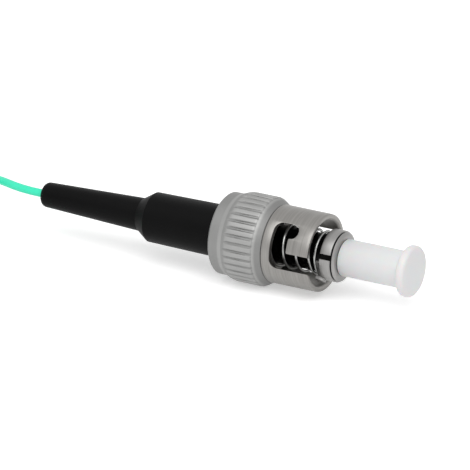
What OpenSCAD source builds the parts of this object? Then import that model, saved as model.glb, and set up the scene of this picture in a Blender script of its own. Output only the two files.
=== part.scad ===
// Bayonet fibre connector with a dust cap and a coiled pigtail of buffered fibre.
// X is the connector's axis, with the dust cap toward +X and the pigtail toward -X. Z is up.
// The origin lies on the axis, in the plane of the coupling nut's open front rim. Millimetres.

/* [Bayonet shell] */
// Outside diameter of the shell in front of the grip
shell_d = 8.46; // [8.2:0.02:9]
// Bore that takes the barrel of the mating adapter
shell_bore_d = 7.2; // [7.1:0.02:7.4]
// Length of shell that shows in front of the grip ring
shell_front_l = 5.6; // [5:0.1:7]
// Depth from the front rim to the front face of the web
nut_depth = 8.4; // [8:0.1:10]
// Thickness of the web that the spring pushes back
web_t = 1.0; // [0.6:0.1:1.5]
// Diameter of the seat that the grip ring is pressed on
seat_d = 7.9; // [7.6:0.05:8.1]
// Gap in radius between the spring and the wall of its chamber
chamber_gap = 0.475; // [0.3:0.025:0.6]
// Length of the spring chamber in front of the web
chamber_l = 2.4; // [1:0.1:2.6]
// Chamfer inside the front rim
rim_chamfer = 0.18; // [0.05:0.01:0.3]
// Length of the slight taper behind the front rim
rim_taper_l = 0.45; // [0.2:0.05:0.8]
// Drop in radius over that taper
rim_taper_drop = 0.04; // [0:0.01:0.15]

/* [Bayonet slots] */
// Distance from the front rim to the rear edge of the slots
slot_depth = 4.55; // [4.3:0.05:5]
// Width of the channel that runs round behind the tongue
channel_w = 1.97; // [1.6:0.01:2.1]
// Width of the open entry of a slot
entry_w = 1.75; // [1.6:0.05:2]
// Width of the round detent at the closed end of a slot
detent_w = 1.54; // [1.3:0.02:1.8]
// Reach of the detent forward of the channel
detent_reach = 0.94; // [0.9:0.02:1.4]
// Angle that a lug turns through from the entry to the detent
lock_turn = 45.5; // [42:0.5:55]
// Corner radius at the rear of a slot
slot_corner_r = 0.85; // [0.3:0.05:0.95]

/* [Grip ring] */
// Diameter over the fluted band
grip_d = 9.7; // [9.3:0.1:11]
// Diameter of the plain collar behind the band
collar_d = 8.68; // [8.4:0.02:9.1]
// Length of the plain collar
collar_l = 1.25; // [0.8:0.05:2]
// Length of the ramp between collar and band
ramp_l = 1.25; // [0.8:0.05:1.6]
// Length of the fluted band
band_l = 3.05; // [2:0.05:4]
// Length of the smooth shoulder in front of the band
shoulder_l = 0.8; // [0.5:0.05:1.2]
// Diameter at the front edge of the shoulder
shoulder_d = 8.56; // [8.5:0.02:9.1]
// Number of flutes round the band
flute_count = 36; // [24:1:48]
// Depth of a flute
flute_depth = 0.14; // [0.08:0.01:0.25]
// Radius of the round-bottomed flute
flute_r = 0.2; // [0.15:0.01:0.3]
// Diameter of the recess behind the web
recess_d = 6.8; // [6.6:0.1:7.2]
// Chamfer on the rear rim
rear_chamfer = 0.22; // [0.1:0.02:0.4]

/* [Inner body] */
// Distance from the nut's front rim to the rear face of the hexagon
hex_offset = 0.6; // [0.4:0.05:1.5]
// Width across the corners of the hexagon
hex_corners = 5.5; // [5.3:0.05:6]
// Thickness of the hexagon
hex_t = 1.2; // [0.8:0.05:2]
// Width of the turned groove in front of the hexagon
nose_groove_w = 0.14; // [0.1:0.01:0.3]
// Diameter at the bottom of that groove
nose_groove_d = 4.6; // [4.2:0.05:4.7]
// Diameter of the coned collar
nose_d = 5.3; // [5:0.05:5.6]
// Diameter of the collar's front face
nose_face_d = 4.4; // [4.2:0.05:4.8]
// Length of the coned collar
nose_l = 0.5; // [0.4:0.05:1]
// Diameter of the barrel through the spring
barrel_d = 4.1; // [3.9:0.05:4.2]
// Running clearance in radius between the barrel and the web's bore
web_clearance = 0.1; // [0.05:0.01:0.15]
// Land of the barrel behind the retaining clip
clip_land = 0.35; // [0.2:0.05:0.8]
// Diameter of the crimp stem
stem_d = 3.5; // [3.3:0.05:3.6]
// Length of the crimp stem
stem_l = 7.6; // [6:0.1:8.4]
// Depth of the grip grooves on the stem
stem_groove_depth = 0.12; // [0.05:0.01:0.2]
// Number of grip grooves on the stem
stem_grooves = 5; // [3:1:7]
// Height of the alignment key over the axis
key_reach = 3.05; // [2.9:0.05:3.2]
// Width of the alignment key
key_w = 0.8; // [0.5:0.05:1]
// Reach of the key behind the hexagon's rear face
key_back = 0.7; // [0.4:0.05:1]

/* [Ferrule] */
// Diameter of the ferrule
ferrule_d = 2.5; // [2.4:0.05:2.6]
// Length of the ferrule
ferrule_l = 12.7; // [11:0.1:14]
// Length of the ferrule in front of the inner body
ferrule_out = 6.8; // [6:0.1:8]
// Diameter of the fibre bore
ferrule_bore_d = 0.135; // [0.13:0.001:0.145]
// Length of the chamfer at the polished end
ferrule_chamfer = 0.5; // [0.2:0.05:0.8]
// Length of the funnel at the rear
funnel_l = 1.3; // [0.8:0.1:2]

/* [Spring and washer] */
// Wire diameter of the spring
wire_d = 0.3; // [0.25:0.01:0.35]
// Gap in radius between the barrel and the spring
spring_gap = 0.125; // [0.08:0.005:0.2]
// Turns between the closed ends
active_turns = 5; // [4:1:7]
// Thickness of the thrust washer
washer_t = 0.3; // [0.2:0.05:0.5]
// Gap in radius between the thrust washer and the chamber's wall
washer_gap = 0.2; // [0.1:0.05:0.25]

/* [Retaining clip] */
// Outside diameter of the retaining clip
clip_d = 5.7; // [5.4:0.05:6]
// Thickness of the retaining clip
clip_t = 0.5; // [0.4:0.05:0.7]
// Depth of the groove that holds the clip
clip_groove_depth = 0.3; // [0.2:0.02:0.4]
// Angle of the clip's opening
clip_opening = 70; // [50:5:100]
// Play between the clip and the web
clip_play = 0.05; // [0.02:0.01:0.1]

/* [Crimp sleeve and guide tube] */
// Wall of the crimp sleeve
sleeve_wall = 0.4; // [0.3:0.05:0.45]
// Length of the sleeve's narrow end
sleeve_neck_l = 1.8; // [1:0.1:2.2]
// Length of the sleeve's cone
sleeve_cone_l = 0.7; // [0.5:0.05:1]
// Outside diameter of the guide tube
guide_d = 1.5; // [1.4:0.05:1.6]
// Bore of the guide tube
guide_bore_d = 1.0; // [0.96:0.01:1.1]
// Length of the guide tube inside the stem
guide_inside_l = 7.2; // [4:0.1:7.5]

/* [Boot] */
// Diameter of the boot at its front end
boot_front_d = 5.95; // [5.8:0.05:6.2]
// Diameter of the boot's body at the step
boot_body_d = 5.43; // [5.3:0.05:5.8]
// Length of the boot's body
boot_body_l = 10.5; // [10.4:0.1:13]
// Length of the step
boot_step_l = 1.4; // [1:0.05:2.4]
// Diameter of the tail at the step
tail_front_d = 3.6; // [3.3:0.05:4]
// Diameter of the tail at its end
tail_rear_d = 2.72; // [2.3:0.05:3]
// Length of the tail
tail_l = 12.1; // [9:0.1:16]
// Rounding of the tail's end
tail_round = 0.6; // [0.2:0.05:0.7]
// Clearance in radius round what passes through the boot
boot_clearance = 0.04; // [0.02:0.01:0.06]

/* [Fibre] */
// Diameter of the tight buffer
buffer_d = 0.9; // [0.85:0.01:0.92]
// Diameter of the coating
coating_d = 0.25; // [0.24:0.005:0.26]
// Diameter of the glass
glass_d = 0.125; // [0.12:0.001:0.126]
// Length of bare glass behind the ferrule
bare_l = 1.1; // [0.8:0.1:2]

/* [Dust cap] */
// Diameter of the cap's tube
cap_d = 4.03; // [3.8:0.01:4.2]
// Length of the cap
cap_l = 8.3; // [8.2:0.1:9.5]
// Diameter of the cap's flange
flange_d = 5.6; // [5:0.05:6.4]
// Thickness of the flange
flange_t = 0.85; // [0.7:0.05:1.1]
// Rounding of the flange's edge
flange_round = 0.3; // [0.1:0.02:0.34]
// Fillet between tube and flange
cap_fillet = 0.4; // [0.2:0.05:0.7]
// Running clearance in radius over the ferrule
cap_clearance = 0.03; // [0.01:0.01:0.05]
// Gap between the cap and the inner body's face
cap_gap = 0.04; // [0.02:0.01:0.1]

/* [Pigtail coil] */
// Mean diameter of the coil's turns
coil_d = 10.8; // [9:0.2:13]
// Turns side by side in the coil's section
coil_columns = 5; // [4:1:6]
// Layers in the coil
coil_layers = 7; // [4:1:8]
// Width of the tie
tie_w = 1.6; // [1:0.1:3]
// Thickness of the tie
tie_t = 0.2; // [0.15:0.05:0.3]

/* [Hidden] */
facets = 96;

// line contact of pieces that are pressed or bonded together, as a gap in radius
bond = 0.005;
// how far a cut runs past the solid that it cuts
past = 1;
// chamfer on both sides of the seam between the shell and the grip ring
seam_chamfer = 0.08;
// rounding of the tongue between the entry and the detent
tongue_r = 0.12;
// small broken edges on the turned pieces and the cap
edge = 0.05;
// chamfer on the rear ends of the ferrule and the crimp stem
lead_in = 0.15;
// rise of the ferrule's polished dome and of the cap's closed end
dome = 0.06;
// gap between the ferrule's tip and the closed end of the cap's bore
tip_gap = 0.3;
// length of the cone between the spring chamber and the adapter bore
chamber_cone_l = 0.3;
// place and height of the bend in the grip ring's ramp, as shares of its length and rise
ramp_bend = [0.6, 0.75];
// length of the soft edge where the ramp meets the fluted band, and its drop in radius
ramp_edge_l = 0.15;
ramp_edge_drop = 0.03;
// width of the grip grooves on the crimp stem
stem_groove_w = 0.3;
// thickness of the key in front of the hexagon's rear face
key_t = 0.3;
// gap in radius between the key and the spring
key_gap = 0.08;
// depth of the epoxy in the ferrule's funnel, and of the sleeve's hold on the guide tube
funnel_fill_l = 1.1;
sleeve_grip_l = 1.5;
// bevel on the boot's front rim, as [width, length], and lead-in behind the guide tube
boot_bevel = [0.2, 0.02];
boot_lead_in = 0.3;

// diameters that follow from the barrel outward
spring_d = barrel_d + 2 * spring_gap + 2 * wire_d;
chamber_d = spring_d + 2 * chamber_gap;
washer_d = chamber_d - 2 * washer_gap;

// places along the axis, from the front of the nut backward
grip_front_x = -shell_front_l;
band_front_x = grip_front_x - shoulder_l;
band_rear_x = band_front_x - band_l;
ramp_rear_x = band_rear_x - ramp_l;
grip_rear_x = ramp_rear_x - collar_l;
web_front_x = -nut_depth;
web_rear_x = web_front_x - web_t;
clip_front_x = web_rear_x - clip_play;
clip_rear_x = clip_front_x - clip_t;
barrel_rear_x = clip_rear_x - clip_land;
stem_rear_x = barrel_rear_x - stem_l;

// places along the axis, from the nut's rim forward
hex_front_x = hex_offset + hex_t;
nose_rear_x = hex_front_x + nose_groove_w;
nose_front_x = nose_rear_x + nose_l;
ferrule_front_x = nose_front_x + ferrule_out;
ferrule_rear_x = ferrule_front_x - ferrule_l;
cap_rear_x = nose_front_x + cap_gap;
cap_front_x = cap_rear_x + cap_l;

// the fibre and what guides it
buffer_front_x = ferrule_rear_x - bare_l;
guide_front_x = stem_rear_x + guide_inside_l;
sleeve_front_x = barrel_rear_x - 2 * bond;
sleeve_rear_x = stem_rear_x - sleeve_cone_l;
guide_rear_x = sleeve_rear_x - sleeve_neck_l;
body_bore_r = buffer_d / 2 + 0.1;
funnel_r = body_bore_r - 0.05;
sleeve_r = stem_d / 2 + bond + sleeve_wall;
neck_r = guide_d / 2 + bond + sleeve_wall / 2;

// the boot
boot_front_x = barrel_rear_x - 2 * bond;
boot_step_x = boot_front_x - boot_body_l;
tail_front_x = boot_step_x - boot_step_l;
boot_rear_x = tail_front_x - tail_l;
boot_bore_r = buffer_d / 2 + boot_clearance;

// the spring
spring_rear_x = web_front_x + washer_t + bond;
spring_front_x = hex_offset - bond;
coil_r = (spring_d - wire_d) / 2;
closed_pitch = 1.1 * wire_d;
active_pitch = (spring_front_x - spring_rear_x - wire_d - 2 * closed_pitch) / active_turns;
spring_turns = active_turns + 2;
spring_steps = 22;
spring_sides = 8;
// angle about the axis, from +Y toward +Z, at which the spring's rear end lies
spring_start = 19;

// angles about the axis, measured from -Y toward +Z
entry_angle = 0;
hex_angle = 17;
key_angle = -53;
flute_angle = 2;
clip_angle = 150;

// the coil and the surface that everything lies on
floor_z = -grip_d / 2;
coil_centre = [-55, 2.8];
coil_band = coil_columns * buffer_d;
coil_height = coil_layers * buffer_d;
coil_inner_r = (coil_d - coil_band) / 2;
coil_outer_r = (coil_d + coil_band) / 2;
coil_round = buffer_d / 2;
tie_angle = 200;

// the route of the lead, from the boot's end to the outermost turn of the coil
lead_route = [
    [boot_rear_x, 0, 0], [-36.2, 0, 0], [-38.2, 0.4, 0], [-40.1, 1.2, -0.1], [-41.8, 2.3, -0.5],
    [-43.3, 3.6, -1.2], [-44.7, 5, -2.1], [-46, 6.4, -3], [-47.4, 7.7, -3.7], [-49, 8.8, -4.2],
    [-50.9, 9.6, -4.4], [-52.9, 10, -4.4], [-55, 10, -4.4]];
lead_sides = 8;

// Turns the children from standing on Z to lying along X.
module along_x() rotate([0, 90, 0]) children();

// A turned piece, from points given as [radius, place along X].
module turned(outline) along_x() rotate_extrude($fn = facets) polygon(outline);

// Turns the children about X, from -Y toward +Z.
module at_angle(angle) rotate([-angle, 0, 0]) children();

// Points along a quarter arc, from angle a to angle b, as [radius, place along X].
function arc(centre, r, a, b, steps = 6) =
    [for (i = [0:steps]) let (t = a + (b - a) * i / steps) centre + r * [cos(t), sin(t)]];

// Faces of a closed tube whose rings of points follow each other.
function tube_faces(rings, sides) = concat(
    [[for (k = [0:sides - 1]) k]],
    [for (i = [0:rings - 2], k = [0:sides - 1]) let (n = (k + 1) % sides)
        [i * sides + k, (i + 1) * sides + k, (i + 1) * sides + n, i * sides + n]],
    [[for (k = [sides - 1:-1:0]) (rings - 1) * sides + k]]);

// Place along X of the spring's wire after a number of turns from its rear end.
function spring_x(turn) = spring_rear_x + wire_d / 2
    + closed_pitch * (min(turn, 1) + max(turn - spring_turns + 1, 0))
    + active_pitch * min(max(turn - 1, 0), active_turns);

module dust_cap() {
    flange_rear_x = cap_front_x - flange_t;
    bore_r = ferrule_d / 2 + cap_clearance;
    bore_front_x = ferrule_front_x + tip_gap;
    tube_r = cap_d / 2;
    rim_r = flange_d / 2;
    color([0.88, 0.89, 0.89, 0.9]) difference() {
        turned(concat(
            [[0, cap_rear_x], [tube_r - edge, cap_rear_x], [tube_r, cap_rear_x + edge]],
            arc([tube_r + cap_fillet, flange_rear_x - cap_fillet], cap_fillet, 180, 90),
            arc([rim_r - flange_round, flange_rear_x + flange_round], flange_round, -90, 0),
            arc([rim_r - flange_round, cap_front_x - flange_round], flange_round, 0, 80),
            [[rim_r / 2, cap_front_x + dome * 0.7], [0, cap_front_x + dome]]));
        turned([[0, cap_rear_x - past], [bore_r, cap_rear_x - past],
                [bore_r, bore_front_x], [0, bore_front_x]]);
    }
}

module ferrule() {
    r = ferrule_d / 2;
    bore_r = ferrule_bore_d / 2;
    color([0.95, 0.95, 0.93]) turned([
        [bore_r, ferrule_rear_x + funnel_l], [funnel_r, ferrule_rear_x],
        [r - lead_in, ferrule_rear_x], [r, ferrule_rear_x + lead_in],
        [r, ferrule_front_x - ferrule_chamfer], [r - ferrule_chamfer * tan(30), ferrule_front_x - dome],
        [r / 2, ferrule_front_x - dome * 0.3], [bore_r, ferrule_front_x]]);
}

module glass_fibre() {
    color([0.85, 0.92, 0.95]) turned([
        [0, boot_rear_x], [glass_d / 2, boot_rear_x], [glass_d / 2, ferrule_front_x], [0, ferrule_front_x]]);
}

// A tube round the fibre, from the boot's end forward to front_x.
module fibre_layer(inner_d, outer_d, front_x) turned([
    [inner_d / 2 + bond, boot_rear_x], [outer_d / 2, boot_rear_x],
    [outer_d / 2, front_x], [inner_d / 2 + bond, front_x]]);

module fibre_coating() color([0.9, 0.85, 0.6]) fibre_layer(glass_d, coating_d, buffer_front_x);

module tight_buffer() color([0.26, 0.92, 0.74]) fibre_layer(coating_d, buffer_d, buffer_front_x);

module epoxy_bead() {
    hole_r = glass_d / 2 + bond;
    slope = (funnel_r - ferrule_bore_d / 2) / funnel_l;
    tip_r = ferrule_bore_d / 2 + slope * (funnel_l - funnel_fill_l) - 2 * bond;
    tip_x = ferrule_rear_x + funnel_fill_l;
    color([0.75, 0.6, 0.25]) turned([
        [hole_r, buffer_front_x + bond], [body_bore_r - bond, buffer_front_x + bond],
        [body_bore_r - bond, ferrule_rear_x - bond], [funnel_r - 2 * bond, ferrule_rear_x - bond],
        [max(hole_r + bond, tip_r), tip_x], [hole_r, tip_x]]);
}

module inner_body() {
    stem_pitch = stem_l / (stem_grooves + 1);
    hex_flat_r = hex_corners / 2 * cos(30);
    barrel_r = barrel_d / 2;
    key_rear_x = hex_offset - key_back;
    color([0.62, 0.61, 0.6]) difference() {
        union() {
            turned([
                [0, stem_rear_x], [stem_d / 2 - lead_in, stem_rear_x], [stem_d / 2, stem_rear_x + lead_in],
                [stem_d / 2, barrel_rear_x], [barrel_r, barrel_rear_x],
                [barrel_r, clip_rear_x - bond], [barrel_r - clip_groove_depth, clip_rear_x - bond],
                [barrel_r - clip_groove_depth, clip_front_x + bond], [barrel_r, clip_front_x + bond],
                [barrel_r, hex_offset + hex_t / 2], [nose_groove_d / 2, hex_offset + hex_t / 2],
                [nose_groove_d / 2, nose_rear_x], [nose_d / 2, nose_rear_x], [nose_d / 2, nose_rear_x + edge],
                [nose_face_d / 2, nose_front_x], [0, nose_front_x]]);
            at_angle(hex_angle) translate([hex_offset, 0, 0]) rotate([90, 0, 0])
                along_x() cylinder(d = hex_corners, h = hex_t, $fn = 6);
            at_angle(key_angle) translate([hex_offset, -hex_flat_r, -key_w / 2]) mirror([0, 1, 0])
                cube([key_t, key_reach - hex_flat_r, key_w]);
            at_angle(key_angle) translate([key_rear_x, -key_reach, -key_w / 2])
                cube([key_back + key_t, key_reach - spring_d / 2 - key_gap, key_w]);
        }
        for (i = [1:stem_grooves]) let (x = stem_rear_x + i * stem_pitch)
            turned([[stem_d / 2 + past, x - stem_groove_w / 2],
                    [stem_d / 2 - stem_groove_depth, x - stem_groove_w / 4],
                    [stem_d / 2 - stem_groove_depth, x + stem_groove_w / 4],
                    [stem_d / 2 + past, x + stem_groove_w / 2]]);
        turned([[0, ferrule_rear_x - bond], [ferrule_d / 2 + bond, ferrule_rear_x - bond],
                [ferrule_d / 2 + bond, nose_front_x + past], [0, nose_front_x + past]]);
        turned([[0, stem_rear_x - past], [guide_d / 2 + bond, stem_rear_x - past],
                [guide_d / 2 + bond, guide_front_x + bond], [body_bore_r, guide_front_x + bond],
                [body_bore_r, ferrule_rear_x], [0, ferrule_rear_x]]);
    }
}

module compression_spring() {
    rings = spring_turns * spring_steps + 1;
    points = [for (i = [0:rings - 1]) let (turn = i / spring_steps, a = spring_start + 360 * turn)
        for (k = [0:spring_sides - 1]) let (
            t = 360 * (k + 0.5) / spring_sides,
            r = coil_r + wire_d / 2 * cos(t))
        [spring_x(turn) + wire_d / 2 * sin(t), r * cos(a), r * sin(a)]];
    color([0.66, 0.66, 0.65]) polyhedron(points, tube_faces(rings, spring_sides), convexity = 10);
}

module thrust_washer() {
    r = barrel_d / 2 + web_clearance;
    color([0.7, 0.7, 0.69]) turned([
        [r, web_front_x], [washer_d / 2, web_front_x],
        [washer_d / 2, web_front_x + washer_t], [r, web_front_x + washer_t]]);
}

module retaining_clip() {
    inner_r = barrel_d / 2 - clip_groove_depth + bond;
    mouth = clip_d * tan(clip_opening / 2);
    color([0.55, 0.55, 0.54]) difference() {
        turned([[inner_r, clip_rear_x], [clip_d / 2, clip_rear_x],
                [clip_d / 2, clip_front_x], [inner_r, clip_front_x]]);
        at_angle(clip_angle) translate([clip_rear_x - past, 0, 0]) rotate([90, 0, 90])
            linear_extrude(clip_t + 2 * past) polygon([[0, 0], [-clip_d, -mouth], [-clip_d, mouth]]);
    }
}

// Flat pattern of one slot: X along the axis, Y round the shell, with the detent at +Y.
module slot_outline() {
    middle_y = shell_d / 2 * sin(lock_turn / 2);
    low_y = -middle_y - entry_w / 2;
    tongue_y = low_y + entry_w;
    detent_r = detent_w / 2;
    rear_x = -slot_depth;
    front_x = rear_x + channel_w;
    polygon(concat(
        [[past, low_y]],
        arc([rear_x + slot_corner_r, low_y + slot_corner_r], slot_corner_r, 270, 180),
        arc([rear_x + slot_corner_r, middle_y + detent_r - slot_corner_r], slot_corner_r, 180, 90),
        arc([front_x + detent_reach - detent_r, middle_y], detent_r, 90, -90, 14),
        arc([front_x + tongue_r, middle_y - detent_r - tongue_r], tongue_r, 90, 180, 3),
        arc([front_x + tongue_r, tongue_y + tongue_r], tongue_r, 180, 270, 3),
        [[past, tongue_y]]));
}

module bayonet_shell() {
    r = shell_d / 2;
    web_bore_r = barrel_d / 2 + web_clearance;
    chamber_front_x = web_front_x + chamber_l;
    color([0.63, 0.62, 0.6]) difference() {
        turned([
            [web_bore_r, web_rear_x], [seat_d / 2, web_rear_x], [seat_d / 2, grip_front_x],
            [r - seam_chamfer, grip_front_x], [r, grip_front_x + seam_chamfer], [r, -rim_taper_l],
            [r - rim_taper_drop, 0], [shell_bore_d / 2 + rim_chamfer, 0], [shell_bore_d / 2, -rim_chamfer],
            [shell_bore_d / 2, chamber_front_x], [chamber_d / 2, chamber_front_x - chamber_cone_l],
            [chamber_d / 2, web_front_x], [web_bore_r, web_front_x]]);
        for (side = [0, 180]) at_angle(entry_angle + lock_turn / 2 + side) rotate([90, 0, 0])
            translate([0, 0, barrel_d / 4]) linear_extrude(shell_d) slot_outline();
    }
}

module grip_ring() {
    r = grip_d / 2;
    collar_r = collar_d / 2;
    color([0.6, 0.6, 0.59]) difference() {
        turned([
            [recess_d / 2, grip_rear_x], [collar_r - rear_chamfer, grip_rear_x],
            [collar_r, grip_rear_x + rear_chamfer], [collar_r, ramp_rear_x],
            [collar_r + (r - collar_r) * ramp_bend[1], ramp_rear_x + ramp_l * ramp_bend[0]],
            [r - ramp_edge_drop, band_rear_x - ramp_edge_l], [r, band_rear_x + ramp_edge_l],
            [r, band_front_x], [shoulder_d / 2, grip_front_x - seam_chamfer],
            [shoulder_d / 2 - seam_chamfer, grip_front_x - bond],
            [seat_d / 2 + bond, grip_front_x - bond], [seat_d / 2 + bond, web_rear_x - bond],
            [recess_d / 2, web_rear_x - bond]]);
        for (i = [0:flute_count - 1]) at_angle(flute_angle + i * 360 / flute_count)
            translate([ramp_rear_x, -(r - flute_depth + flute_r), 0])
                along_x() cylinder(r = flute_r, h = grip_front_x - ramp_rear_x, $fn = 24);
    }
}

module crimp_sleeve() {
    inner_r = stem_d / 2 + bond;
    tube_r = guide_d / 2 + bond;
    neck_rear_x = sleeve_rear_x - sleeve_grip_l;
    color([0.7, 0.69, 0.66]) turned([
        [tube_r, neck_rear_x], [neck_r, neck_rear_x], [neck_r, sleeve_rear_x],
        [sleeve_r, stem_rear_x], [sleeve_r, sleeve_front_x],
        [inner_r, sleeve_front_x], [inner_r, stem_rear_x - bond], [tube_r, stem_rear_x - sleeve_wall]]);
}

module guide_tube() color([0.9, 0.9, 0.88]) turned([
    [guide_bore_d / 2, guide_rear_x], [guide_d / 2, guide_rear_x],
    [guide_d / 2, guide_front_x], [guide_bore_d / 2, guide_front_x]]);

module boot() {
    cavity_r = sleeve_r + boot_clearance;
    neck_cavity_r = neck_r + boot_clearance;
    end_r = tail_rear_d / 2;
    color([0.07, 0.07, 0.07]) turned(concat(
        arc([end_r - tail_round, boot_rear_x + tail_round], tail_round, -90, 0),
        [[tail_front_d / 2, tail_front_x], [boot_body_d / 2, boot_step_x],
         [boot_front_d / 2 - boot_bevel[0] / 2, boot_front_x - boot_bevel[1]],
         [boot_front_d / 2 - boot_bevel[0], boot_front_x],
         [cavity_r, boot_front_x], [cavity_r, stem_rear_x], [neck_cavity_r, sleeve_rear_x],
         [neck_cavity_r, guide_rear_x - edge], [boot_bore_r, guide_rear_x - edge - boot_lead_in],
         [boot_bore_r, boot_rear_x]]));
}

module pigtail_lead() {
    last = len(lead_route) - 1;
    points = [for (i = [0:last]) let (
            run = lead_route[min(i + 1, last)] - lead_route[max(i - 1, 0)],
            along = i == 0 ? [-1, 0, 0] : i == last ? [-1, 0, 0] : run / norm(run),
            side = cross(along, [0, 0, 1]) / norm(cross(along, [0, 0, 1])),
            up = cross(side, along))
        for (k = [0:lead_sides - 1]) let (t = 360 * (k + 0.5) / lead_sides)
        lead_route[i] + buffer_d / 2 * (cos(t) * side + sin(t) * up)];
    color([0.26, 0.92, 0.74]) polyhedron(points, tube_faces(last + 1, lead_sides), convexity = 6);
}

// Section of the coil, with rounded corners, as [radius, height].
module coil_section(margin) {
    for (r = [coil_inner_r + coil_round, coil_outer_r - coil_round])
        for (z = [floor_z + coil_round, floor_z + coil_height - coil_round])
            translate([r, z]) circle(coil_round + margin, $fn = facets);
    translate([coil_inner_r - margin, floor_z + coil_round])
        square([coil_band + 2 * margin, coil_height - 2 * coil_round]);
    translate([coil_inner_r + coil_round, floor_z - margin])
        square([coil_band - 2 * coil_round, coil_height + 2 * margin]);
}

module pigtail_coil() color([0.26, 0.92, 0.74]) translate(coil_centre)
    rotate_extrude($fn = facets) coil_section(0);

// The tie goes round the coil's section. It presses into the turns underneath, so it stays off the floor.
module coil_tie() color([0.12, 0.12, 0.12]) translate(coil_centre) rotate([0, 0, tie_angle])
    rotate([90, 0, 0]) translate([0, 0, -tie_w / 2]) linear_extrude(tie_w) difference() {
        tie_section(tie_t, floor_z);
        tie_section(0, floor_z + tie_t);
    }

// The coil's section grown by margin, above the height low.
module tie_section(margin, low) intersection() {
    coil_section(margin);
    translate([coil_inner_r - past, low]) square([coil_band + 2 * past, coil_height + past]);
}

dust_cap();
ferrule();
glass_fibre();
fibre_coating();
tight_buffer();
epoxy_bead();
inner_body();
compression_spring();
thrust_washer();
retaining_clip();
bayonet_shell();
grip_ring();
crimp_sleeve();
guide_tube();
boot();
pigtail_lead();
pigtail_coil();
coil_tie();
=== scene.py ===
"""Dresses the bayonet fibre connector: modelled pieces, finishes, lamps, floor and camera."""

import math

import bpy
from mathutils import Matrix, Vector


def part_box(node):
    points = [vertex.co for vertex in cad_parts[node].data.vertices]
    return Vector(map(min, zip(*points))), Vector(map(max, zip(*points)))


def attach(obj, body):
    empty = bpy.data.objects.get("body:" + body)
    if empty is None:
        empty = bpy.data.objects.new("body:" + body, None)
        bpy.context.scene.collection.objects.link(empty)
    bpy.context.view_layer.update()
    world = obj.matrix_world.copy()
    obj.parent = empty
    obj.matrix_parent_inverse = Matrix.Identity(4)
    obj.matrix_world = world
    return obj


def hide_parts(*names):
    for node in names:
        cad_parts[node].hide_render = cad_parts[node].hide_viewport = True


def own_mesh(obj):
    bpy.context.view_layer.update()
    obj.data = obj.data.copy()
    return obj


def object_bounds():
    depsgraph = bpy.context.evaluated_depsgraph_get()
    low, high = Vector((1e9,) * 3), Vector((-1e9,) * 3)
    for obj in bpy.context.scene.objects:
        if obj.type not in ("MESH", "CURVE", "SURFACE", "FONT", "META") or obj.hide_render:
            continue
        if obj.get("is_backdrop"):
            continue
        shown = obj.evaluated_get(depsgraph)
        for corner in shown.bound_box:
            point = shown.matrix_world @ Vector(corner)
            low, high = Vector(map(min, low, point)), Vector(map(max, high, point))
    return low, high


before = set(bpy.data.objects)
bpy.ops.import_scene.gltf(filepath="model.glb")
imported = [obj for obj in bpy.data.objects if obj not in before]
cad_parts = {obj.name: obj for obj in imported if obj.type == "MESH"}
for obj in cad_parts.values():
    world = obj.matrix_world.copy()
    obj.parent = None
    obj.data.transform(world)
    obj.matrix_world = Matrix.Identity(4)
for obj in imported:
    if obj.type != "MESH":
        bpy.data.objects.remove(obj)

bl_info = {
    "name": "Bayonet fibre connector",
    "version": (1, 0, 0),
    "blender": (4, 5, 0),
    "location": "View3D > Sidebar > Connector",
    "description": "Models and finishes a bayonet fibre connector with its pigtail",
    "category": "Object",
}

MM = 0.001
TAU = 2 * math.pi
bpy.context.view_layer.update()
BODY = "connector_body"
NUT = "coupling_nut"
CAP = "cap"
# Vertices nearer than this are merged, in metres.
MERGE = 2e-8
SENSOR_WIDTH = 36


# ---------------------------------------------------------------- sizes and colours

def size(name, description, default):
    return bpy.props.FloatProperty(
        name=name, description=description, default=default, unit="LENGTH", subtype="DISTANCE",
        precision=6, min=0)


def colour(name, description, default):
    return bpy.props.FloatVectorProperty(
        name=name, description=description, default=default, subtype="COLOR", size=3, min=0,
        max=1)


def share(name, description, default):
    return bpy.props.FloatProperty(
        name=name, description=description, default=default, subtype="FACTOR", min=0, max=1)


class ConnectorSizes(bpy.types.PropertyGroup):
    buffer_d: size("Pigtail", "Diameter of the tight buffer", 0.9 * MM)
    cord_length: size("Pigtail length", "Length of the pigtail from the boot to its bare end", 1.0)
    wire_d: size("Spring wire", "Diameter of the spring's wire", 0.3 * MM)
    spring_d: size("Spring", "Outside diameter of the spring", 4.95 * MM)


class ConnectorColours(bpy.types.PropertyGroup):
    aqua: colour("Aqua", "Colour of the pigtail's buffer", (0.055, 0.823, 0.515))
    boot: colour("Boot", "Colour of the boot's elastomer", (0.0022, 0.0022, 0.0023))
    shell: colour("Shell", "Colour of the shell's turned plating", (0.27, 0.262, 0.25))
    grip: colour("Grip", "Colour of the grip ring's matte plating", (0.35, 0.35, 0.345))
    body: colour("Inner body", "Colour of the inner body's plating", (0.30, 0.295, 0.29))
    # The barrel colour is painted shade: near black where the inner body sits deep inside the nut.
    barrel: colour(
        "Barrel", "Colour of the blackened barrel inside the spring", (0.006, 0.006, 0.006))
    tie: colour("Tie", "Colour of the tie round the coil", (0.02, 0.02, 0.022))
    fibre: colour(
        "Fibre", "Colour of the glass, its coating and the guide tube", (0.80, 0.80, 0.74))
    wire: colour("Spring", "Colour of the spring's wire", (0.42, 0.42, 0.41))
    cap: colour("Dust cap", "Colour of the milky dust cap", (0.73, 0.735, 0.74))
    ferrule: colour("Ferrule", "Colour of the ceramic ferrule", (0.90, 0.90, 0.87))
    floor: colour("Floor", "Colour of the studio floor", (0.93, 0.93, 0.93))


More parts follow.
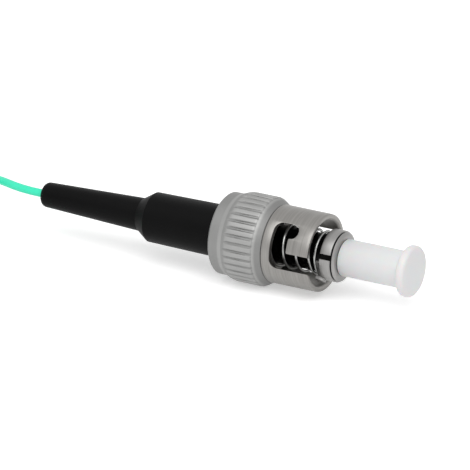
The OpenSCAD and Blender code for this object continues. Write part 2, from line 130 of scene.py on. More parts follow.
class StudioSettings(bpy.types.PropertyGroup):
    azimuth: bpy.props.FloatProperty(
        name="Azimuth", description="Direction of the camera round the connector",
        default=math.radians(29.1), subtype="ANGLE")
    elevation: bpy.props.FloatProperty(
        name="Elevation", description="Height of the camera above the horizon",
        default=math.radians(22.3), subtype="ANGLE")
    distance: size("Distance", "Distance from the camera to the connector", 1.4)
    lens: bpy.props.FloatProperty(
        name="Lens", description="Focal length of the camera", default=1011.0, unit="CAMERA",
        min=1)
    key_power: bpy.props.FloatProperty(
        name="Key lamp", description="Power of the soft lamp above the front", default=1.2,
        subtype="POWER", min=0)
    ambient: share("Ambient", "Strength of the light that comes from all round", 0.6)
    floor_glow: share(
        "Floor glow", "White that the floor adds where the camera or a gloss sees it", 0.4)


# ---------------------------------------------------------------- modelling

def deselect():
    if bpy.context.object is not None and bpy.context.object.mode != "OBJECT":
        bpy.ops.object.mode_set(mode="OBJECT")
    bpy.ops.object.select_all(action="DESELECT")


def pick(piece, *others):
    deselect()
    for each in (piece, *others):
        each.select_set(True)
    bpy.context.view_layer.objects.active = piece


def started(name):
    piece = bpy.context.object
    piece.name = piece.data.name = name
    return piece


def dressed(piece, body, slot, material, *nodes, angle=30):
    """Shades a finished piece, gives it material and body, and hides what it stands for."""
    if piece.type == "MESH":
        pick(piece)
        bpy.ops.object.shade_smooth_by_angle(angle=math.radians(angle))
    piece.data.materials.clear()
    piece.data.materials.append(material)
    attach(piece, body)
    if nodes:
        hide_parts(*nodes)
    return piece


def chain(name, points):
    """Draws edges through points in millimetres by extruding one vertex. Stays in edit mode."""
    deselect()
    bpy.ops.mesh.primitive_plane_add(size=MM)
    piece = started(name)
    bpy.ops.object.mode_set(mode="EDIT")
    bpy.ops.mesh.select_mode(type="VERT")
    bpy.ops.mesh.select_all(action="SELECT")
    bpy.ops.mesh.merge(type="CENTER")
    bpy.ops.mesh.select_all(action="SELECT")
    bpy.ops.transform.translate(value=Vector(points[0]) * MM)
    for a, b in zip(points, points[1:]):
        bpy.ops.mesh.extrude_vertices_move(
            TRANSFORM_OT_translate={"value": (Vector(b) - Vector(a)) * MM})
    bpy.ops.mesh.select_all(action="SELECT")
    return piece


def close_up():
    """Merges doubles, faces the mesh outward and goes back to object mode."""
    bpy.ops.mesh.select_all(action="SELECT")
    bpy.ops.mesh.remove_doubles(threshold=MERGE)
    bpy.ops.mesh.select_all(action="SELECT")
    bpy.ops.mesh.normals_make_consistent(inside=False)
    bpy.ops.object.mode_set(mode="OBJECT")


def turned(name, section, steps=144):
    """A piece spun about X from a closed section of (place along X, radius) in millimetres."""
    loop = [(x, 0, r) for x, r in section]
    if section[0][1] > 0:
        loop.append(loop[0])
    piece = chain(name, loop)
    bpy.ops.mesh.remove_doubles(threshold=MERGE)
    bpy.ops.mesh.select_all(action="SELECT")
    bpy.ops.mesh.spin(steps=steps, angle=TAU, center=(0, 0, 0), axis=(1, 0, 0))
    close_up()
    return piece


def slab(name, outline, low, high):
    """A prism from an outline of (X, height) in millimetres, from low to high toward -Y."""
    piece = chain(name, [(x, -low, z) for x, z in (*outline, outline[0])])
    bpy.ops.mesh.remove_doubles(threshold=MERGE)
    bpy.ops.mesh.select_all(action="SELECT")
    bpy.ops.mesh.edge_face_add()
    bpy.ops.mesh.extrude_region_move(TRANSFORM_OT_translate={"value": (0, (low - high) * MM, 0)})
    close_up()
    return piece


def box_outline(x0, x1, half):
    return [(x0, -half), (x1, -half), (x1, half), (x0, half)]


def at_angle(piece, degrees):
    """Turns a piece about X, from -Y toward +Z, with its place kept in the mesh."""
    piece.data.transform(Matrix.Rotation(-math.radians(degrees), 4, "X"))
    return piece


def copies_round(piece, angles):
    """Copies of a piece at angles round X, each with its own mesh, joined into one object."""
    copies = []
    for degrees in angles[1:]:
        copy = piece.copy()
        copy.data = piece.data.copy()
        bpy.context.scene.collection.objects.link(copy)
        copies.append(at_angle(copy, degrees))
    at_angle(piece, angles[0])
    pick(piece, *copies)
    bpy.ops.object.join()
    return piece


def with_modifier(piece, kind, **settings):
    pick(piece)
    bpy.ops.object.modifier_add(type=kind)
    modifier = piece.modifiers[-1]
    for key, value in settings.items():
        setattr(modifier, key, value)
    bpy.ops.object.modifier_apply(modifier=modifier.name)
    return piece


def combine(piece, tool, operation="DIFFERENCE"):
    with_modifier(piece, "BOOLEAN", object=tool, operation=operation, solver="EXACT")
    bpy.data.objects.remove(tool)
    return piece


def soften(piece, width, segments=2, angle=32):
    """Rounds the edges that are sharper than an angle. The width is in millimetres."""
    return with_modifier(
        piece, "BEVEL", width=width * MM, segments=segments, limit_method="ANGLE",
        angle_limit=math.radians(angle), use_clamp_overlap=False, harden_normals=False,
        miter_outer="MITER_ARC")


def quarter(centre, r, a, b, steps=5):
    """Points along an arc from angle a to angle b, in degrees."""
    turns = [math.radians(a + (b - a) * i / steps) for i in range(steps + 1)]
    return [(centre[0] + r * math.cos(t), centre[1] + r * math.sin(t)) for t in turns]


def wire(name, kind, points, diameter, resolution):
    """A round wire of a diameter in metres along points in millimetres, and its spline."""
    deselect()
    bpy.ops.curve.primitive_bezier_curve_add(location=(0, 0, 0))
    piece = started(name)
    curve = piece.data
    curve.splines.clear()
    spline = curve.splines.new(kind)
    spline.points.add(len(points) - 1)
    for knot, p in zip(spline.points, points):
        knot.co = (*(p * MM), 1)
    curve.dimensions = "3D"
    curve.bevel_depth = diameter / 2
    curve.bevel_resolution = resolution
    curve.use_fill_caps = True
    return piece, spline


# ---------------------------------------------------------------- finishes

def fresh(name):
    material = bpy.data.materials.new(name)
    material.use_nodes = True
    return material, material.node_tree.nodes, material.node_tree.links


def socket(group, name, kind, default=None, way="INPUT"):
    made = group.interface.new_socket(name=name, in_out=way, socket_type=kind)
    if default is not None:
        made.default_value = default


def group_of(name):
    group = bpy.data.node_groups.new(name, "ShaderNodeTree")
    return group, group.nodes.new("NodeGroupInput"), group.nodes.new("NodeGroupOutput")


def value_node(tree, operation, *inputs):
    node = tree.nodes.new("ShaderNodeMath")
    node.operation = operation
    for place, item in enumerate(inputs):
        if isinstance(item, (int, float)):
            node.inputs[place].default_value = item
        else:
            tree.links.new(item, node.inputs[place])
    return node.outputs[0]


def spread(tree, value, low, high, to_low, to_high):
    node = tree.nodes.new("ShaderNodeMapRange")
    tree.links.new(value, node.inputs["Value"])
    places = {"From Min": low, "From Max": high, "To Min": to_low, "To Max": to_high}
    for key, item in places.items():
        if isinstance(item, (int, float)):
            node.inputs[key].default_value = item
        else:
            tree.links.new(item, node.inputs[key])
    return node.outputs["Result"]


def seen_directly(tree):
    """1 where the camera, a gloss or a transmission looks, and 0 for the light on the object."""
    path = tree.nodes.new("ShaderNodeLightPath")
    return value_node(
        tree, "MAXIMUM", path.outputs["Is Camera Ray"], value_node(
            tree, "MAXIMUM", path.outputs["Is Glossy Ray"], path.outputs["Is Transmission Ray"]))


def split_place(tree):
    """The piece's own coordinates, one by one."""
    place = tree.nodes.new("ShaderNodeTexCoord")
    split = tree.nodes.new("ShaderNodeSeparateXYZ")
    tree.links.new(place.outputs["Object"], split.inputs[0])
    return split.outputs


def make_turning_marks():
    """Fine rings round X, as a turning tool leaves them: a bump height and a tone from 0 to 1."""
    round_scale = 160.0
    group, entry, result = group_of("turning marks")
    socket(group, "Rings", "NodeSocketFloat", 9000.0)
    socket(group, "Height", "NodeSocketFloat", way="OUTPUT")
    socket(group, "Tone", "NodeSocketFloat", way="OUTPUT")
    place = split_place(group)
    joined = group.nodes.new("ShaderNodeCombineXYZ")
    for axis, scale in (("X", entry.outputs["Rings"]), ("Y", round_scale), ("Z", round_scale)):
        group.links.new(value_node(group, "MULTIPLY", place[axis], scale), joined.inputs[axis])
    noise = group.nodes.new("ShaderNodeTexNoise")
    noise.inputs["Scale"].default_value = 1.0
    noise.inputs["Detail"].default_value = 3.0
    group.links.new(joined.outputs[0], noise.inputs["Vector"])
    group.links.new(noise.outputs["Fac"], result.inputs["Height"])
    tone = spread(group, noise.outputs["Fac"], 0.35, 0.65, 0.0, 1.0)
    group.links.new(tone, result.inputs["Tone"])
    return group


def make_grain():
    """Fine speckle and slow patches of wear, read from the piece's own place."""
    group, entry, result = group_of("grain")
    socket(group, "Fineness", "NodeSocketFloat", 9000.0)
    socket(group, "Patches", "NodeSocketFloat", 500.0)
    socket(group, "Height", "NodeSocketFloat", way="OUTPUT")
    socket(group, "Wear", "NodeSocketFloat", way="OUTPUT")
    place = group.nodes.new("ShaderNodeTexCoord")
    for source, target, detail in (("Fineness", "Height", 2.0), ("Patches", "Wear", 4.0)):
        noise = group.nodes.new("ShaderNodeTexNoise")
        noise.inputs["Detail"].default_value = detail
        group.links.new(place.outputs["Object"], noise.inputs["Vector"])
        group.links.new(entry.outputs[source], noise.inputs["Scale"])
        amount = spread(group, noise.outputs["Fac"], 0.3, 0.7, 0.0, 1.0)
        group.links.new(amount, result.inputs[target])
    return group


def placed(tree, group, **values):
    node = tree.nodes.new("ShaderNodeGroup")
    node.node_tree = group
    for key, value in values.items():
        node.inputs[key].default_value = value
    return node


def between(tree, mask, low, high):
    """A colour that runs from low to high with a mask."""
    node = tree.nodes.new("ShaderNodeMix")
    node.data_type = "RGBA"
    tree.links.new(mask, node.inputs["Factor"])
    for name, item in (("A", low), ("B", high)):
        place = [i for i in node.inputs if i.name == name and i.type == "RGBA"][0]
        if isinstance(item, bpy.types.NodeSocket):
            tree.links.new(item, place)
        else:
            place.default_value = (*item, 1)
    return [o for o in node.outputs if o.type == "RGBA"][0]


def bumped(tree, height, strength, depth):
    node = tree.nodes.new("ShaderNodeBump")
    node.inputs["Strength"].default_value = strength
    node.inputs["Distance"].default_value = depth
    tree.links.new(height, node.inputs["Height"])
    return node.outputs["Normal"]


def shade(rgb, factor):
    return tuple(c * factor for c in rgb)


def uneven(tree, mask, rgb, contrast):
    """A colour that is a share darker where a mask is 0 and lighter where it is 1."""
    return between(tree, mask, shade(rgb, 1 - contrast), shade(rgb, 1 + contrast))


def grained(name, rgb, rough, metallic=0.0, grain=(9000.0, 500.0), depth=2e-6, contrast=0.08,
            **more):
    """A finish with fine grain and slow patches in its colour and gloss."""
    material, nodes, links = fresh(name)
    tree = material.node_tree
    shader = nodes["Principled BSDF"]
    speckle = placed(tree, bpy.data.node_groups["grain"], Fineness=grain[0], Patches=grain[1])
    wear = speckle.outputs["Wear"]
    links.new(uneven(tree, wear, rgb, contrast), shader.inputs["Base Color"])
    links.new(spread(tree, wear, 0.0, 1.0, *rough), shader.inputs["Roughness"])
    links.new(bumped(tree, speckle.outputs["Height"], 0.5, depth), shader.inputs["Normal"])
    shader.inputs["Metallic"].default_value = metallic
    for key, value in more.items():
        shader.inputs[key.replace("_", " ")].default_value = value
    return material


def turned_finish(name, rgb, rough, contrast, depth):
    """Bare metal with fine rings from the turning tool: its material, shader and colour."""
    material, nodes, links = fresh(name)
    tree = material.node_tree
    shader = nodes["Principled BSDF"]
    marks = placed(tree, bpy.data.node_groups["turning marks"])
    patches = placed(tree, bpy.data.node_groups["grain"], Patches=350.0)
    tone = uneven(tree, marks.outputs["Tone"], rgb, contrast)
    links.new(tone, shader.inputs["Base Color"])
    links.new(spread(tree, patches.outputs["Wear"], 0.0, 1.0, *rough), shader.inputs["Roughness"])
    links.new(bumped(tree, marks.outputs["Height"], 0.6, depth), shader.inputs["Normal"])
    shader.inputs["Metallic"].default_value = 1.0
    return material, shader, tone


def radius_and_x(tree):
    """Distance from the connector's axis, and the place along it."""
    place = split_place(tree)
    squares = [value_node(tree, "MULTIPLY", place[axis], place[axis]) for axis in "YZ"]
    return value_node(tree, "SQRT", value_node(tree, "ADD", *squares)), place["X"]


# ---------------------------------------------------------------- operators

class ConnectorOperator:
    bl_options = {"REGISTER", "UNDO"}

    @property
    def sizes(self):
        return bpy.context.scene.connector_sizes

    @property
    def colours(self):
        return bpy.context.scene.connector_colours


class STUDIO_OT_camera(ConnectorOperator, bpy.types.Operator):
    """Places the camera that looks at the connector from its front right"""
    bl_idname = "connector.camera"
    bl_label = "Camera"

    target = Vector((-9.33, -2.93, 1.27)) * MM

    def execute(self, context):
        studio = context.scene.connector_studio
        away = Vector((
            math.sin(studio.azimuth) * math.cos(studio.elevation),
            -math.cos(studio.azimuth) * math.cos(studio.elevation),
            math.sin(studio.elevation)))
        deselect()
        bpy.ops.object.camera_add(location=self.target + away * studio.distance)
        camera = bpy.context.object
        camera.name = "studio_camera"
        camera.rotation_mode = "QUATERNION"
        camera.rotation_quaternion = (-away).to_track_quat("-Z", "Y")
        camera.data.lens = studio.lens
        camera.data.sensor_width = SENSOR_WIDTH
        camera.data.clip_start, camera.data.clip_end = 0.01, 20
        context.scene.camera = camera
        return {"FINISHED"}


# The route of the lead, as the CAD solid has it, and the coil that it runs into. Millimetres.
LEAD_ROUTE = (
    (-34.31, 0, 0), (-36.2, 0, 0), (-38.2, 0.4, 0), (-40.1, 1.2, -0.1), (-41.8, 2.3, -0.5),
    (-43.3, 3.6, -1.2), (-44.7, 5, -2.1), (-46, 6.4, -3), (-47.4, 7.7, -3.7), (-49, 8.8, -4.2),
    (-50.9, 9.6, -4.4), (-52.9, 10, -4.4), (-55, 10, -4.4))
COIL_CENTRE = (-55, 2.8)
COIL_COLUMNS = 5
TURN_POINTS = 36
CLIMB_POINTS = 6


def coil_route(length_left, pitch):
    """Points of the wound turns, layer on layer, until the given length is used. Millimetres."""
    outer = LEAD_ROUTE[-1][1] - COIL_CENTRE[1]
    crossing = (COIL_COLUMNS - 1) * TURN_POINTS
    last = Vector(LEAD_ROUTE[-1])
    points, used, count = [], 0.0, 0
    while used < length_left:
        count += 1
        layer, along = divmod(count, crossing + CLIMB_POINTS)
        inward = min(along, crossing) / TURN_POINTS
        column = inward if layer % 2 == 0 else COIL_COLUMNS - 1 - inward
        climb = max(0, along - crossing) / CLIMB_POINTS
        radius = outer - column * pitch
        angle = TAU * count / TURN_POINTS
        here = Vector((
            COIL_CENTRE[0] - radius * math.sin(angle), COIL_CENTRE[1] + radius * math.cos(angle),
            LEAD_ROUTE[-1][2] + (layer + climb) * pitch))
        used += (here - last).length
        last = here
        points.append(here)
    return points


class CONNECTOR_OT_pigtail(ConnectorOperator, bpy.types.Operator):
    """Makes the pigtail: one metre of aqua buffered fibre, wound into a neat coil"""
    bl_idname = "connector.pigtail"
    bl_label = "Pigtail"

    def execute(self, context):
        sizes = self.sizes
        lead = [Vector(p) for p in LEAD_ROUTE]
        laid = sum((b - a).length for a, b in zip(lead, lead[1:]))
        pitch = sizes.buffer_d / MM
        points = lead + coil_route(sizes.cord_length / MM - laid, pitch)
        cord, spline = wire("pigtail_cord", "NURBS", points, sizes.buffer_d, resolution=5)
        spline.use_endpoint_u = True
        spline.order_u = 3
        spline.resolution_u = 2
        dressed(cord, BODY, "aqua_buffer", bpy.data.materials["aqua buffer"],
                "pigtail_lead", "pigtail_coil")
        return {"FINISHED"}


class CONNECTOR_OT_finishes(ConnectorOperator, bpy.types.Operator):
    """Makes the finishes of all the pieces"""
    bl_idname = "connector.finishes"
    bl_label = "Finishes"

    # zones of painted shade on the grip ring and on the inner body, in millimetres
    flute_r = (4.74, 4.82)
    band_x = (-10.2, -6.42)
    shoulder_x = (-6.3, -6.1)
    collar_x = (-10.8, -10.6)
    black_front, black_r = 2.12, 2.6
    # how much painted shade darkens the flutes, the shoulder and the collar, and the colour factor
    # of the darkest painted shade
    flute_dull, shoulder_dull, collar_dull = 0.3, 0.45, 0.35
    dull_shade = 0.35

    def execute(self, context):
        c = self.colours
        make_turning_marks()
        make_grain()
        grained("aqua buffer", c.aqua, rough=(0.36, 0.44), contrast=0.03, depth=1e-6,
                Specular_IOR_Level=0.3)
        grained("boot elastomer", c.boot, rough=(0.42, 0.5), contrast=0.2, depth=3e-6,
                Specular_IOR_Level=0.07)
        grained("tie strap", c.tie, rough=(0.6, 0.7), contrast=0.2, grain=(14000.0, 900.0),
                depth=8e-6)
        grained("milky cap", c.cap, rough=(0.38, 0.45), contrast=0.012, depth=1e-6,
                Subsurface_Weight=0.35, Subsurface_Scale=0.001)
        grained("zirconia", c.ferrule, rough=(0.1, 0.14), contrast=0.01, depth=2e-7)
        grained("fibre", c.fibre, rough=(0.2, 0.3), contrast=0.02, depth=2e-7)
        grained("spring wire", c.wire, rough=(0.3, 0.4), metallic=1.0, contrast=0.06, depth=1e-6)
        turned_finish("shell plating", c.shell, rough=(0.36, 0.46), contrast=0.10, depth=3e-6)
        self.grip_plating(c)
        self.body_plating(c)
        return {"FINISHED"}

    def grip_plating(self, c):
        """Matte plating, with painted shade that darkens its colour in the flutes, on the shoulder
        and on the collar behind them
        """
        material = grained("grip plating", c.grip, rough=(0.5, 0.58), metallic=1.0, contrast=0.05,
                           depth=4e-6)
        tree = material.node_tree
        shader = tree.nodes["Principled BSDF"]
        radius, along = radius_and_x(tree)
        clean = shader.inputs["Base Color"].links[0].from_socket
        # Painted shade: the colour darkens deep in the flutes, on the shoulder cone and on the
        # collar.
        in_flute = spread(tree, radius, *(r * MM for r in self.flute_r), 1.0, 0.0)
        on_band = value_node(
            tree, "MULTIPLY", value_node(tree, "GREATER_THAN", along, self.band_x[0] * MM),
            value_node(tree, "LESS_THAN", along, self.band_x[1] * MM))
        flutes = value_node(
            tree, "MULTIPLY", value_node(tree, "MULTIPLY", in_flute, on_band), self.flute_dull)
        shoulder = spread(tree, along, *(x * MM for x in self.shoulder_x), 0.0, self.shoulder_dull)
        collar = spread(tree, along, *(x * MM for x in self.collar_x), self.collar_dull, 0.0)
        dull = value_node(tree, "MAXIMUM", flutes, value_node(tree, "MAXIMUM", shoulder, collar))
        tree.links.new(between(tree, dull, clean, shade(c.grip, self.dull_shade)),
                       shader.inputs["Base Color"])

    def body_plating(self, c):
        """Turned plating on the head, with painted shade: near black behind X 2.12 mm and within
        2.6 mm of the axis, on the barrel, bore, stem and the head's undercut, notch floors and
        groove
        """
        material, shader, tone = turned_finish(
            "body plating", c.body, rough=(0.36, 0.44), contrast=0.05, depth=2e-6)
        tree = material.node_tree
        radius, along = radius_and_x(tree)
        # Painted shade: near black on the barrel, bore, stem and head recesses inside the nut.
        inside = value_node(
            tree, "MULTIPLY", value_node(tree, "LESS_THAN", along, self.black_front * MM),
            value_node(tree, "LESS_THAN", radius, self.black_r * MM))
        tree.links.new(between(tree, inside, tone, tuple(c.barrel)), shader.inputs["Base Color"])


# Finishes of the CAD solids that show.
NODE_FINISH = {
    "ferrule": "zirconia", "glass_fibre": "fibre", "fibre_coating": "fibre",
    "tight_buffer": "aqua buffer", "epoxy_bead": "fibre", "thrust_washer": "spring wire",
    "retaining_clip": "spring wire",
    "crimp_sleeve": "shell plating", "guide_tube": "fibre", "boot": "boot elastomer",
}


class CONNECTOR_OT_coil_tie(ConnectorOperator, bpy.types.Operator):
    """Makes the strap that holds the coil"""
    bl_idname = "connector.coil_tie"
    bl_label = "Coil tie"

    # size across the coil's section and along its turns, wall and corners, in metres
    width, band, wall = 4.9 * MM, 1.6 * MM, 0.2 * MM
    corner, corner_steps = 0.62 * MM, 6

    def execute(self, context):
        low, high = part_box("coil_tie")
        middle = (low + high) / 2
        reach = Vector((COIL_CENTRE[0], COIL_CENTRE[1], 0)) * MM
        out = Vector((middle.x, middle.y, 0)) - reach
        turn = Matrix.Translation(reach) @ Matrix.Rotation(math.atan2(out.y, out.x), 4, "Z")
        deselect()
        bpy.ops.mesh.primitive_cube_add(
            size=1, location=(out.length, 0, middle.z),
            scale=(self.width, self.band, high.z - low.z))
        strap = started("coil_strap")
        bpy.ops.object.transform_apply(location=True, rotation=True, scale=True)
        self.round_corners(strap)
        self.open_sides(strap)
        with_modifier(strap, "SOLIDIFY", thickness=self.wall, offset=-1)
        strap.data.transform(turn)
        soften(strap, 0.04, 2)
        dressed(strap, BODY, "tie_plastic", bpy.data.materials["tie strap"], "coil_tie")
        return {"FINISHED"}

    def round_corners(self, strap):
        """Bevels the four edges that run along the coil's turns"""
        bpy.ops.object.mode_set(mode="EDIT")
        bpy.ops.mesh.select_mode(type="EDGE")
        bpy.ops.mesh.select_all(action="DESELECT")
        bpy.ops.object.mode_set(mode="OBJECT")
        for edge in strap.data.edges:
            a, b = (strap.data.vertices[i].co for i in edge.vertices)
            edge.select = abs(a.y - b.y) > MM
        bpy.ops.object.mode_set(mode="EDIT")
        bpy.ops.mesh.bevel(offset=self.corner, segments=self.corner_steps)
        bpy.ops.mesh.select_all(action="DESELECT")
        bpy.ops.object.mode_set(mode="OBJECT")

    def open_sides(self, strap):
        """Takes out the two faces that the turns pass through"""
        for face in strap.data.polygons:
            face.select = abs(face.normal.y) > 0.9
        bpy.ops.object.mode_set(mode="EDIT")
        bpy.ops.mesh.select_mode(type="FACE")
        bpy.ops.mesh.delete(type="FACE")
        bpy.ops.object.mode_set(mode="OBJECT")


class CONNECTOR_OT_spring(ConnectorOperator, bpy.types.Operator):
    """Makes the round-wire compression spring"""
    bl_idname = "connector.spring"
    bl_label = "Spring"

    # ends along X, pitch of the active and of the closed turns, in millimetres
    rear, front = -8.095, 0.23
    pitch, closed = 1.546, 0.33
    # angle of the first point from +Y toward +Z, in degrees
    start = 19.0
    turn_points = 30

    def along(self, turn, turns):
        rising = min(max(turn - 1, 0), turns - 2)
        return self.closed * (min(turn, 1) + max(turn - turns + 1, 0)) + self.pitch * rising

    def execute(self, context):
        sizes = self.sizes
        wire_d = sizes.wire_d / MM
        radius = (sizes.spring_d - sizes.wire_d) / 2 / MM
        turns = 2 + (self.front - self.rear - wire_d - 2 * self.closed) / self.pitch
        count = round(turns * self.turn_points)
        points = []
        for i in range(count + 1):
            turn = turns * i / count
            angle = math.radians(self.start) + TAU * turn
            points.append(Vector((self.rear + wire_d / 2 + self.along(turn, turns),
                                  radius * math.cos(angle), radius * math.sin(angle))))
        coil, _ = wire("spring_coil", "POLY", points, sizes.wire_d, resolution=4)
        pick(coil)
        bpy.ops.object.convert(target="MESH")
        bpy.ops.object.mode_set(mode="EDIT")
        close_up()
        dressed(coil, BODY, "spring_wire", bpy.data.materials["spring wire"],
                "compression_spring", angle=60)
        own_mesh(coil)
        return {"FINISHED"}


class CONNECTOR_OT_inner_body(ConnectorOperator, bpy.types.Operator):
    """Makes the inner body: barrel, notched head, groove, coned collar, key and crimp stem"""
    bl_idname = "connector.inner_body"
    bl_label = "Inner body"

    # two notches across the head, the land that bridges the undercut, and the key: angle round
    # X in degrees, ends along X, half the width, and lower and upper radius in millimetres
    notch_angles, notch = (16, 196), (0.6, 2.05, 0.29, 2.25, 4)
    land_angle, land = -18, (0.3, 0.9, 0.95, 1.6, 2.62)
    key_angle, key = -53, (-0.1, 0.9, 0.4, 2.56, 3.05)
    # grip grooves on the crimp stem
    stem_rear, stem_l, grooves = -17.9, 7.6, 5
    groove = ((-0.15, 3), (-0.07, 1.63), (0.07, 1.63), (0.15, 3))

    def block(self, name, rear, front, half, low, high):
        return slab(name, box_outline(rear, front, half), low, high)

    def execute(self, context):
        section = [
            (-17.9, 0.755), (-17.9, 1.6), (-17.75, 1.75), (-10.3, 1.75), (-10.3, 2.05),
            (-9.955, 2.05), (-9.955, 1.75), (-9.445, 1.75), (-9.445, 2.05), (0.24, 2.05),
            (0.24, 2.38), (0.72, 2.38), (0.72, 2.76), (0.76, 2.8), (1.96, 2.8), (2.0, 2.76),
            (2.0, 2.45), (2.13, 2.45), (2.13, 2.66), (2.17, 2.7), (2.36, 2.45), (2.44, 2.3),
            (2.44, 1.255), (-3.465, 1.255), (-3.465, 0.55), (-10.695, 0.55), (-10.695, 0.755)]
        body = turned("inner_body_metal", section, 160)
        for angle in self.notch_angles:
            combine(body, at_angle(self.block("notch", *self.notch), angle))
        combine(body, at_angle(self.block("land", *self.land), self.land_angle), "UNION")
        combine(body, at_angle(self.block("key", *self.key), self.key_angle), "UNION")
        for i in range(1, self.grooves + 1):
            x = self.stem_rear + i * self.stem_l / (self.grooves + 1)
            combine(body, turned("stem_groove", [(x + dx, r) for dx, r in self.groove], 96))
        soften(body, 0.025)
        dressed(body, BODY, "body_metal", bpy.data.materials["body plating"], "inner_body")
        return {"FINISHED"}


class CONNECTOR_OT_shell(ConnectorOperator, bpy.types.Operator):
    """Makes the coupling nut's shell with its two hooked bayonet slots"""
    bl_idname = "connector.shell"
    bl_label = "Shell"

    # turn from the entry to the detent in degrees, and sizes of the slot in millimetres
    lock_turn = 45.5
    radius, entry_w = 4.23, 1.75
    rear, front = -4.55, -2.58
    corner_r, detent_r, lip_r = 0.85, 0.77, 0.12
    detent_l = 0.94
    # the cutter runs past the front rim, and from inside the bore to outside the shell
    past_rim, cutter_low, cutter_high = 1, 1.0, 8.5

    def slot_outline(self):
        corner, detent, lip = self.corner_r, self.detent_r, self.lip_r
        rear, front = self.rear, self.front
        middle = self.radius * math.sin(math.radians(self.lock_turn / 2))
        low = -middle - self.entry_w / 2
        tongue = low + self.entry_w
        return [
            (self.past_rim, low), *quarter((rear + corner, low + corner), corner, 270, 180),
            *quarter((rear + corner, middle + detent - corner), corner, 180, 90),
            *quarter((front + self.detent_l - detent, middle), detent, 90, -90, 14),
            *quarter((front + lip, middle - detent - lip), lip, 90, 180, 3),
            *quarter((front + lip, tongue + lip), lip, 180, 270, 3), (self.past_rim, tongue)]

    def execute(self, context):
        section = [
            (-9.4, 2.15), (-9.4, 3.95), (-5.6, 3.95), (-5.6, 4.15), (-5.52, 4.23), (-0.45, 4.23),
            (-0.06, 4.2), (0, 4.14), (0, 3.78), (-0.18, 3.6), (-6.0, 3.6), (-6.3, 2.95),
            (-8.4, 2.95), (-8.4, 2.15)]
        shell = turned("nut_shell", section, 160)
        for side in (0, 180):
            cutter = slab("slot", self.slot_outline(), self.cutter_low, self.cutter_high)
            combine(shell, at_angle(cutter, self.lock_turn / 2 + side))
        soften(shell, 0.04)
        dressed(shell, NUT, "shell_metal", bpy.data.materials["shell plating"], "bayonet_shell")
        return {"FINISHED"}


class CONNECTOR_OT_grip(ConnectorOperator, bpy.types.Operator):
    """Makes the grip ring with its flutes, ramp and smooth shoulder"""
    bl_idname = "connector.grip"
    bl_label = "Grip ring"

    # number of flutes, place of the first in degrees, and their depth in millimetres
    flutes, first_flute, flute_depth = 36, 2, 0.14
    # the round cutter that makes each flute
    cutter_r, cutter_l, cutter_middle, cutter_sides = 0.2, 5, -8.2, 20
    radius = 4.85

    def execute(self, context):
        section = [
            (-11.95, 3.4), (-11.95, 4.22), (-11.73, 4.44), (-10.78, 4.44), (-10.62, 4.46),
            (-9.95, 4.7225), (-9.6, 4.82), (-9.3, self.radius), (-6.7, self.radius), (-6.58, 4.83),
            (-6.45, 4.76), (-5.68, 4.28), (-5.6, 4.2), (-5.6, 3.955), (-9.405, 3.955),
            (-9.405, 3.4)]
        ring = turned("grip_ring_metal", section, 180)
        out = self.radius - self.flute_depth + self.cutter_r
        deselect()
        bpy.ops.mesh.primitive_cylinder_add(
            vertices=self.cutter_sides, radius=self.cutter_r * MM, depth=self.cutter_l * MM,
            location=(self.cutter_middle * MM, -out * MM, 0), rotation=(0, math.pi / 2, 0))
        cutter = started("flute")
        bpy.ops.object.transform_apply(location=True, rotation=True, scale=True)
        angles = [self.first_flute + i * 360 / self.flutes for i in range(self.flutes)]
        combine(ring, copies_round(cutter, angles))
        soften(ring, 0.035, 2, 24)
        dressed(ring, NUT, "grip_metal", bpy.data.materials["grip plating"], "grip_ring",
                angle=40)
        return {"FINISHED"}


class CONNECTOR_OT_dust_cap(ConnectorOperator, bpy.types.Operator):
    """Makes the milky dust cap with its thick rounded flange"""
    bl_idname = "connector.dust_cap"
    bl_label = "Dust cap"

    # ends along X, radii of the tube, the rim and the bore, and the flange's roundings
    rear, front = 2.48, 10.78
    tube, rim, bore, bore_front = 2.015, 2.8, 1.28, 9.54
    flange_t, fillet, round_r = 1.05, 0.3, 0.42
    # broken edges at the mouth and in the bore, and the rise of the closed end
    mouth, mouth_lead, bore_edge, dome = 0.06, (0.1, 0.08), 0.04, 0.06

    def execute(self, context):
        rear, front, tube, rim = self.rear, self.front, self.tube, self.rim
        fillet, round_r, bore = self.fillet, self.round_r, self.bore
        flange = front - self.flange_t
        section = [
            (self.bore_front, 0), (self.bore_front, bore - self.bore_edge),
            (self.bore_front - self.bore_edge, bore), (rear + self.mouth_lead[0], bore),
            (rear, bore + self.mouth_lead[1]), (rear, tube - self.mouth), (rear + self.mouth, tube),
            *quarter((flange - fillet, tube + fillet), fillet, -90, 0, 6),
            *quarter((flange + round_r, rim - round_r), round_r, 180, 90, 8),
            *quarter((front - round_r, rim - round_r), round_r, 90, 10, 8),
            (front + self.dome * 2 / 3, rim / 2), (front + self.dome, 0)]
        cap = turned("dust_cap_milky", section, 128)
        soften(cap, 0.03, 2, 50)
        dressed(cap, CAP, "cap_plastic", bpy.data.materials["milky cap"], "dust_cap",
                angle=50)
        return {"FINISHED"}


class CONNECTOR_OT_solids(ConnectorOperator, bpy.types.Operator):
    """Gives the solids that show their finishes"""
    bl_idname = "connector.solids"
    bl_label = "Solids"

    def execute(self, context):
        for node, finish in NODE_FINISH.items():
            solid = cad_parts[node]
            solid.data.materials.clear()
            solid.data.materials.append(bpy.data.materials[finish])
        return {"FINISHED"}


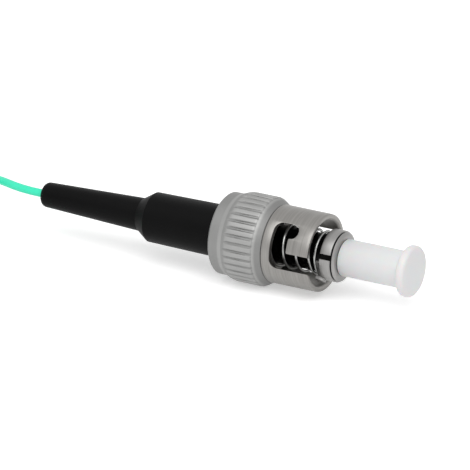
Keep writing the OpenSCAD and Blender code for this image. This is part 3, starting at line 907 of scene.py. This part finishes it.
class CONNECTOR_OT_stage(ConnectorOperator, bpy.types.Operator):
    """Makes the pale floor, the soft lamp and the light all round"""
    bl_idname = "connector.stage"
    bl_label = "Stage"

    floor_size = 6
    lamp_place, lamp_size = (0.08, -0.22, 0.36), (0.5, 0.35)
    white = (1, 1, 1, 1)

    def execute(self, context):
        studio = context.scene.connector_studio
        floor_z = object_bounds()[0].z
        deselect()
        bpy.ops.mesh.primitive_plane_add(size=self.floor_size, location=(0, 0, floor_z))
        floor = started("studio_floor")
        material, nodes, links = fresh("studio floor")
        shader = nodes["Principled BSDF"]
        shader.inputs["Base Color"].default_value = (*self.colours.floor, 1)
        shader.inputs["Roughness"].default_value = 0.9
        shader.inputs["Specular IOR Level"].default_value = 0
        shader.inputs["Emission Color"].default_value = self.white
        tree = material.node_tree
        glow = value_node(tree, "MULTIPLY", seen_directly(tree), studio.floor_glow)
        links.new(glow, shader.inputs["Emission Strength"])
        floor.data.materials.append(material)
        floor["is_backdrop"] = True
        deselect()
        bpy.ops.object.light_add(type="AREA", location=self.lamp_place)
        lamp = bpy.context.object
        lamp.name = "key_lamp"
        lamp.data.shape = "RECTANGLE"
        lamp.data.size, lamp.data.size_y = self.lamp_size
        lamp.data.energy = studio.key_power
        lamp.rotation_mode = "QUATERNION"
        lamp.rotation_quaternion = lamp.location.to_track_quat("Z", "Y")
        world = bpy.data.worlds.new("studio light")
        context.scene.world = world
        world.use_nodes = True
        tree = world.node_tree
        background = tree.nodes["Background"]
        strength = spread(tree, seen_directly(tree), 0.0, 1.0, studio.ambient, 1.0)
        tree.links.new(strength, background.inputs["Strength"])
        background.inputs["Color"].default_value = self.white
        context.scene.view_settings.view_transform = "Standard"
        return {"FINISHED"}


class CONNECTOR_PT_panel(bpy.types.Panel):
    """Lists the steps that dress the connector, with their sizes and colours"""
    bl_idname = "CONNECTOR_PT_panel"
    bl_label = "Connector"
    bl_space_type = "VIEW_3D"
    bl_region_type = "UI"
    bl_category = "Connector"

    def draw(self, context):
        for step in STEPS:
            self.layout.operator(step.bl_idname)
        for group in (context.scene.connector_sizes, context.scene.connector_colours,
                      context.scene.connector_studio):
            box = self.layout.box()
            for key in group.__annotations__:
                box.prop(group, key)


STEPS = (
    STUDIO_OT_camera, CONNECTOR_OT_finishes, CONNECTOR_OT_coil_tie, CONNECTOR_OT_pigtail,
    CONNECTOR_OT_spring, CONNECTOR_OT_inner_body, CONNECTOR_OT_shell, CONNECTOR_OT_grip,
    CONNECTOR_OT_dust_cap, CONNECTOR_OT_solids, CONNECTOR_OT_stage)
GROUPS = (ConnectorSizes, ConnectorColours, StudioSettings)


def register():
    for each in GROUPS + STEPS + (CONNECTOR_PT_panel,):
        bpy.utils.register_class(each)
    bpy.types.Scene.connector_sizes = bpy.props.PointerProperty(type=ConnectorSizes)
    bpy.types.Scene.connector_colours = bpy.props.PointerProperty(type=ConnectorColours)
    bpy.types.Scene.connector_studio = bpy.props.PointerProperty(type=StudioSettings)


def unregister():
    del bpy.types.Scene.connector_studio
    del bpy.types.Scene.connector_colours
    del bpy.types.Scene.connector_sizes
    for each in reversed(GROUPS + STEPS + (CONNECTOR_PT_panel,)):
        bpy.utils.unregister_class(each)


def main():
    register()
    for step in STEPS:
        group, name = step.bl_idname.split(".")
        getattr(getattr(bpy.ops, group), name)()


if __name__ == "__main__":
    main()
